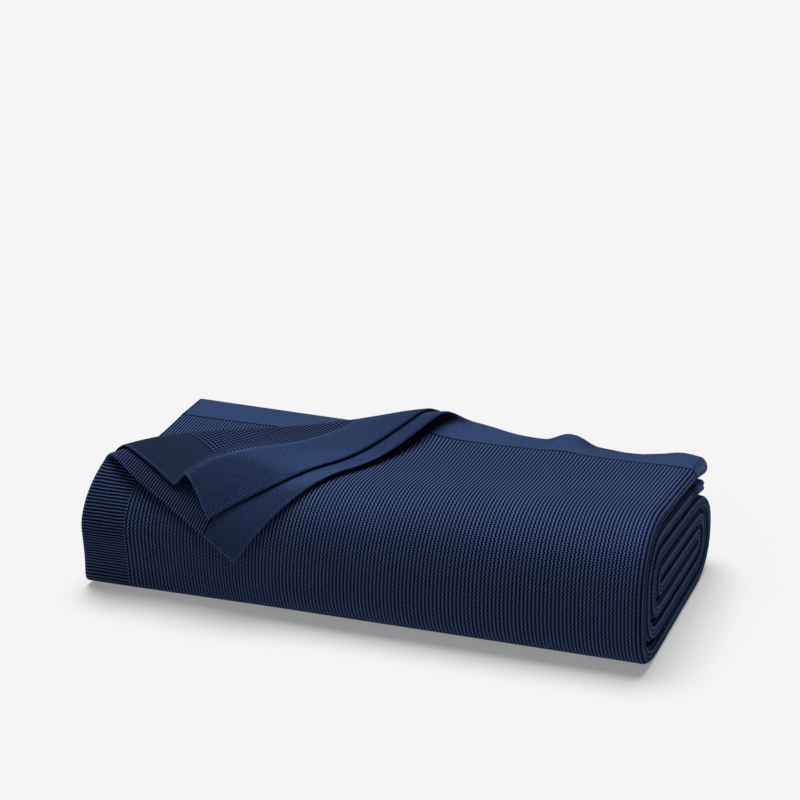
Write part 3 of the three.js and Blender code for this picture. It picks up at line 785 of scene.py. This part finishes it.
def panel_height(n, s, w, position):
    """Moss stitch, with ribs at the throw's two ends."""
    swing = n.scaled(n.math("PINGPONG", n.math("DIVIDE", w, WALE), 1.0), -2.0, 1.0)
    ridge = n.wave(n.math("SUBTRACT", s, n.times(swing, ZIGZAG)), RIDGE)
    moss = n.times(ridge, n.scaled(n.wave(w, WALE, 0.5), *STROKE))
    wander = n.times(n.noise(position, UNEVEN_SCALE, detail=1.0), UNEVEN)
    rib = n.times(n.wave(n.math("ADD", w, wander), RIB), n.scaled(n.wave(s, RIB_STITCH), *RIB_STROKE))
    rib = n.math("ADD", rib, RIB_BASE)
    # The last layer, which shows on the upper flap, is an open net with dark holes
    hole = n.times(n.wave(s, RIDGE, 0.5), n.wave(w, 2 * WALE))
    net = n.math("SUBTRACT", NET, n.times(n.math("POWER", hole, NET_POWER), NET_DEPTH))
    moss = n.mix(n.math("GREATER_THAN", s, LAST_START), moss, net)
    # Where the cloth turns at the right end its stitches are pulled flat
    for layer in (1, 5):
        half = LAYER_LENGTHS[layer] / 2
        inside = n.ramp(n.away(s, float(LAYER_STARTS[layer] + half)), half + STRETCH_RAMP, half - STRETCH_RAMP)
        moss = n.mix(inside, moss, n.scaled(moss, *STRETCH))
    height = n.mix(n.math("LESS_THAN", s, BORDER_WIDTH), moss, rib)
    return n.mix(n.math("GREATER_THAN", s, THROW_LENGTH - BORDER_WIDTH), height, n.scaled(rib, *FLAT_RIB))


def knit_material(name, banded, dark, light):
    material = bpy.data.materials.new(name)
    material.use_nodes = True
    tree = material.node_tree
    tree.nodes.clear()
    n = Nodes(tree)
    s, w = n.uv("cloth")
    position = n.new("ShaderNodeTexCoord").outputs["Object"]
    height = (band_height if banded else panel_height)(n, s, w, position)
    fuzz = n.noise(position, FUZZ_SCALE, 3.0, 0.6)
    fuzzy = n.scaled(fuzz, FUZZ_DEPTH, n.math("SUBTRACT", height, FUZZ_DEPTH / 2))
    # The knit's pattern: dark in its low places as painted shade in the grooves, light on its raised stitches
    shade = n.ramp(fuzzy, *(BAND_SHADE if banded else PANEL_SHADE))
    tone = n.scaled(n.noise(position, CLOUD_SCALE), *CLOUD_TONE)
    tone = n.times(tone, n.scaled(n.noise(position, YARN_SCALE), *YARN_TONE))
    # Painted light: a face that looks up is painted lighter, in the panel only on its raised stitches
    up = n.split(n.new("ShaderNodeNewGeometry").outputs["Normal"])[2]
    if banded:
        tone = n.times(tone, n.scaled(n.ramp(up, *BAND_FACING), *BAND_PAINTED_LIGHT))
    else:
        tone = n.times(tone, n.scaled(n.times(shade, n.ramp(up, *PANEL_FACING)), *PANEL_PAINTED_LIGHT))
    # The seam is painted dark, as shade in its groove, and on the last layer it gets a painted highlight along
    # it instead
    for line in (BAND, WIDTH - BAND):
        away = n.away(w, line)
        seam_shade = n.scaled(n.ramp(away, *SEAM_REACH), *SEAM_SHADE_TONE)
        rim_highlight = n.scaled(n.ramp(away, *RIM_REACH), *RIM_HIGHLIGHT_TONE)
        tone = n.times(tone, n.mix(n.math("GREATER_THAN", s, LAST_START), seam_shade, rim_highlight))
    # The fold's crest gets a painted highlight, and the flaps get painted shade in the hollow in front of it
    over = n.uv("fold")[0]
    crest_highlight = n.ramp(n.away(over, CREST), *CREST_REACH)
    near, far = (n.ramp(over, CREST + start, CREST + end) for start, end in (HOLLOW_NEAR, HOLLOW_FAR))
    tone = n.times(tone, n.scaled(crest_highlight, *CREST_HIGHLIGHT_TONE))
    tone = n.times(tone, n.scaled(n.times(near, far), *HOLLOW_SHADE_TONE))
    # The free edge and the throw's two ends get painted highlights, thin light lines
    edge = n.math("MINIMUM", w, n.math("MINIMUM", s, n.math("SUBTRACT", THROW_LENGTH, s)))
    tone = n.times(tone, n.scaled(n.ramp(edge, *EDGE_REACH), *EDGE_HIGHLIGHT_TONE))
    tint = n.fill(n.new("ShaderNodeCombineXYZ"), {0: tone, 1: tone, 2: tone}).outputs[0]
    bump = {"Strength": BUMP_STRENGTH, "Distance": BUMP_DISTANCE, "Height": n.scaled(fuzz, FUZZ_BUMP, height)}
    settings = {
        "Base Color": n.colour(1.0, n.colour(shade, dark, light), tint, "MULTIPLY"),
        "Normal": n.fill(n.new("ShaderNodeBump"), bump).outputs[0],
        "Roughness": KNIT_ROUGHNESS,
        "Specular IOR Level": KNIT_SPECULAR,
        "Sheen Weight": n.scaled(shade, *SHEEN),
        "Sheen Roughness": SHEEN_ROUGHNESS,
        "Sheen Tint": SHEEN_TINT,
    }
    shader = n.fill(n.new("ShaderNodeBsdfPrincipled"), settings).outputs[0]
    n.fill(n.new("ShaderNodeOutputMaterial"), {0: shader})
    return material


panel_knit = knit_material("panel_knit", False, PANEL_DARK, PANEL_LIGHT)
band_knit = knit_material("band_knit", True, BAND_DARK, BAND_LIGHT)

panel = cloth("knit_panel", BAND + SEAM_GAP / 2, WIDTH - BAND - SEAM_GAP / 2)
band_a = cloth("knit_band_a", 0.0, BAND - SEAM_GAP / 2)
band_b = cloth("knit_band_b", WIDTH - BAND + SEAM_GAP / 2, WIDTH)
for piece, node, material in (
    (panel, "panel", panel_knit),
    (band_a, "side_band_a", band_knit),
    (band_b, "side_band_b", band_knit),
):
    piece.data.materials.append(material)
    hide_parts(node)
    print(piece.name, sum(len(face.vertices) - 2 for face in piece.data.polygons), "triangles")


# Floor, light and camera
floor_mesh = bpy.data.meshes.new("floor")
floor_corners = [(x * FLOOR_REACH, y * FLOOR_REACH, 0) for x, y in ((-1, -1), (1, -1), (1, 1), (-1, 1))]
floor_mesh.from_pydata(floor_corners, [], [(0, 1, 2, 3)])
floor = bpy.data.objects.new("floor", floor_mesh)
bpy.context.scene.collection.objects.link(floor)
floor_material = bpy.data.materials.new("floor")
floor_material.use_nodes = True
floor_inputs = floor_material.node_tree.nodes["Principled BSDF"].inputs
floor_inputs["Base Color"].default_value = FLOOR_COLOUR
floor_inputs["Roughness"].default_value = FLOOR_ROUGHNESS
floor_inputs["Specular IOR Level"].default_value = 0.0
# The floor glows a little, though it is no lamp: painted light that lightens the shadows cast on it
floor_inputs["Emission Color"].default_value = (1, 1, 1, 1)
floor_inputs["Emission Strength"].default_value = FLOOR_GLOW
floor_mesh.materials.append(floor_material)

world = bpy.data.worlds.new("studio")
world.use_nodes = True
world.node_tree.nodes["Background"].inputs["Color"].default_value = (1.0, 1.0, 1.0, 1)
world.node_tree.nodes["Background"].inputs["Strength"].default_value = WORLD_STRENGTH
bpy.context.scene.world = world
bpy.context.scene.view_settings.view_transform = "Standard"


def direction(azimuth, elevation):
    """A unit vector, from two angles in radians."""
    return Vector(
        (math.sin(azimuth) * math.cos(elevation), math.cos(azimuth) * math.cos(elevation), math.sin(elevation))
    )


def studio_light(name, azimuth, elevation, spread, strength):
    """A far, round, soft light: where it stands and how wide it looks, in degrees, and how strong it is."""
    light = bpy.data.lights.new(name, "SUN")
    light.angle = math.radians(spread)
    light.energy = strength
    lamp = bpy.data.objects.new(name, light)
    towards = direction(math.radians(azimuth), math.radians(elevation))
    lamp.rotation_euler = towards.to_track_quat("Z", "Y").to_euler()
    lamp.location = towards * 2
    bpy.context.scene.collection.objects.link(lamp)


studio_light("overhead", azimuth=-90, elevation=86, spread=42, strength=4.4)
studio_light("front", azimuth=190, elevation=30, spread=60, strength=0.2)

AZIMUTH = math.radians(17.97)
ELEVATION = math.radians(27.58)
DISTANCE = 3.5
PIXELS_PER_METRE = 1487.9  # at that distance
AIM = Vector(((LENGTH / 2 - MIDDLE[0]) / 1000, (DEPTH / 2 - MIDDLE[1]) / 1000, 0.045))
AIM_PIXEL = (404.78, 522.2)  # where the photograph shows that point
FRAME_PIXELS = 800
SENSOR_WIDTH = 36.0

forward = direction(-AZIMUTH, -ELEVATION)
right = Vector((math.cos(AZIMUTH), math.sin(AZIMUTH), 0))
up = right.cross(forward)
focal_pixels = PIXELS_PER_METRE * DISTANCE
aside, above = FRAME_PIXELS / 2 - AIM_PIXEL[0], AIM_PIXEL[1] - FRAME_PIXELS / 2
axis = forward * focal_pixels + right * aside + up * above
axis.normalize()
level_right = axis.cross(Vector((0, 0, 1))).normalized()
camera_data = bpy.data.cameras.new("camera")
camera_data.sensor_width = SENSOR_WIDTH
camera_data.lens = focal_pixels * SENSOR_WIDTH / FRAME_PIXELS
camera_data.clip_end = 100.0
camera = bpy.data.objects.new("camera", camera_data)
view = Matrix((level_right, level_right.cross(axis), -axis)).transposed().to_4x4()
view.translation = AIM - forward * DISTANCE
camera.matrix_world = view
bpy.context.scene.collection.objects.link(camera)
bpy.context.scene.camera = camera
